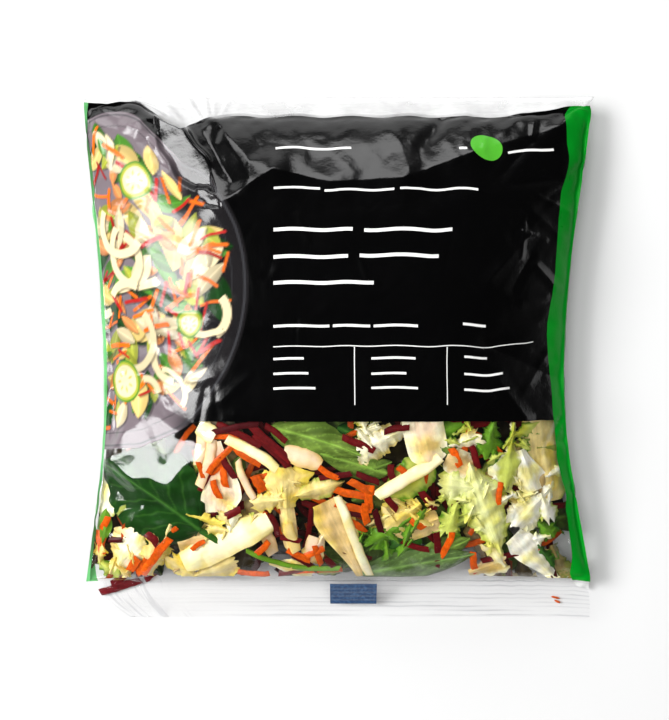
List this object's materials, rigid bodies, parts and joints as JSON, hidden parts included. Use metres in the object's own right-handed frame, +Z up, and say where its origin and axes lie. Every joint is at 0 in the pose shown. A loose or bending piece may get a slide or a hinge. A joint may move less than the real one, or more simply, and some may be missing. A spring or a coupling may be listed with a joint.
{
  "type": "bag of salad leaves",
  "caption": "Sealed pillow bag of mixed salad, lying on its back: dark printed film with green sides, a clear window over the leaves and flat crimped end seals.",
  "frame": {"origin": "on the table under the middle of the lying bag", "axes": "+X across the bag to its wide green side, +Y from the window end to the closed printed end, +Z up out of the printed front"},
  "size_m": [0.2251, 0.232, 0.0463],
  "materials": {
    "printed_film": "glossy black printed film with green side strips and a round dish print",
    "clear_film": "thin clear glossy film, crimped at the seals",
    "spinach": "smooth dark green leaf with paler veins",
    "frisee": "moist cream ribs that turn yellow green at ragged edges",
    "carrot": "moist grated orange root",
    "beet": "moist grated dark red root"
  },
  "bodies": {
    "root": {"salad_bag": "printed_film"}
  },
  "joints": []
}
